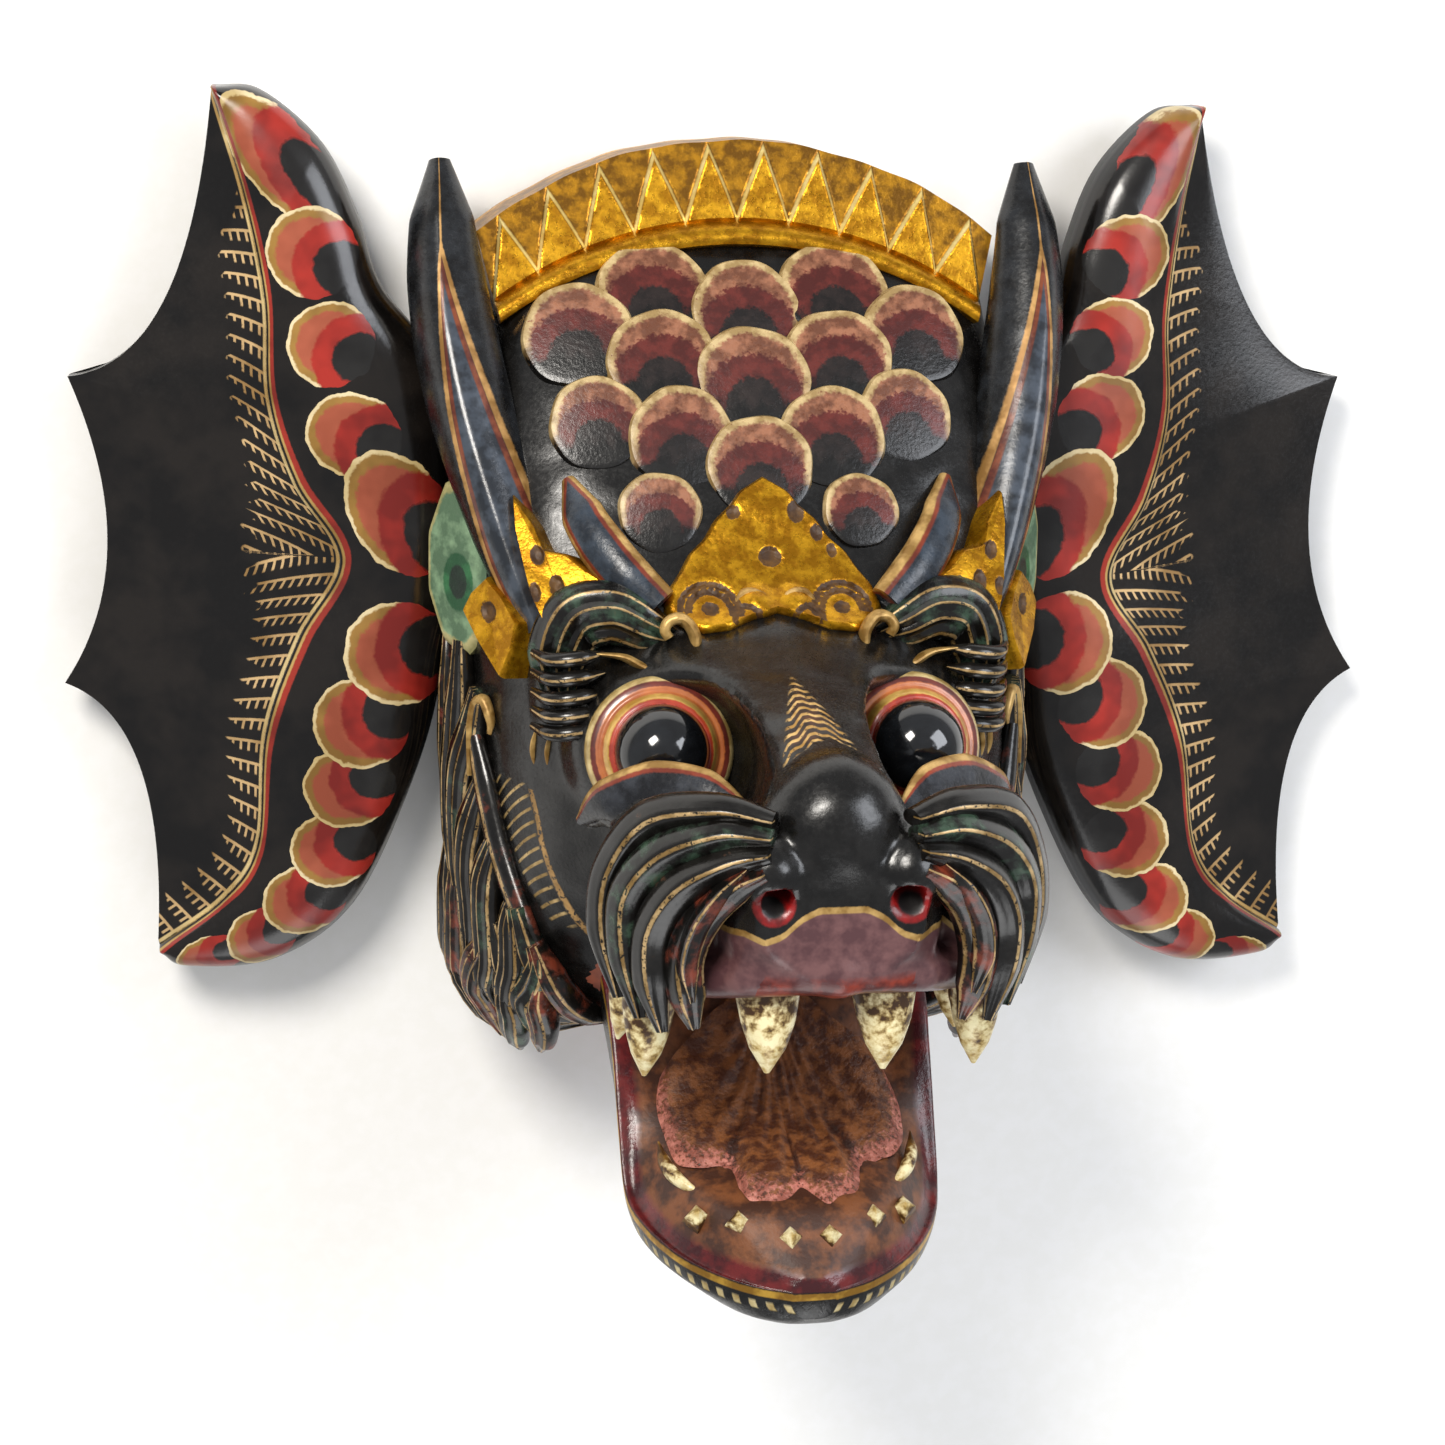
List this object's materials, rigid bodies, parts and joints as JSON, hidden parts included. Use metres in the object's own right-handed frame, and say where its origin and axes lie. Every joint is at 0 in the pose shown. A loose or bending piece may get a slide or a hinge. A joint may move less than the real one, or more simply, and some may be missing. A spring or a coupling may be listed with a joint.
{
  "type": "dragon mask",
  "caption": "Carved and lacquered wooden dragon mask with an open jaw, fangs, a toothed crown and two scalloped wings, hollow behind, made to be worn or hung on a wall.",
  "frame": {"origin": "middle of the bottom of the mask's box, on the surface that it lies on", "axes": "+Z the way the snout points, +Y towards the crown, +X to the right of someone who looks at the face"},
  "size_m": [0.5056, 0.4164, 0.2585],
  "materials": {
    "head": "black lacquer over carved wood, gilt and painted, glossy",
    "wing_left": "black lacquer with painted scales, glossy",
    "wing_right": "black lacquer with painted scales, glossy"
  },
  "bodies": {
    "root": {"head": "head", "wing_left": "wing_left", "wing_right": "wing_right"}
  },
  "joints": []
}
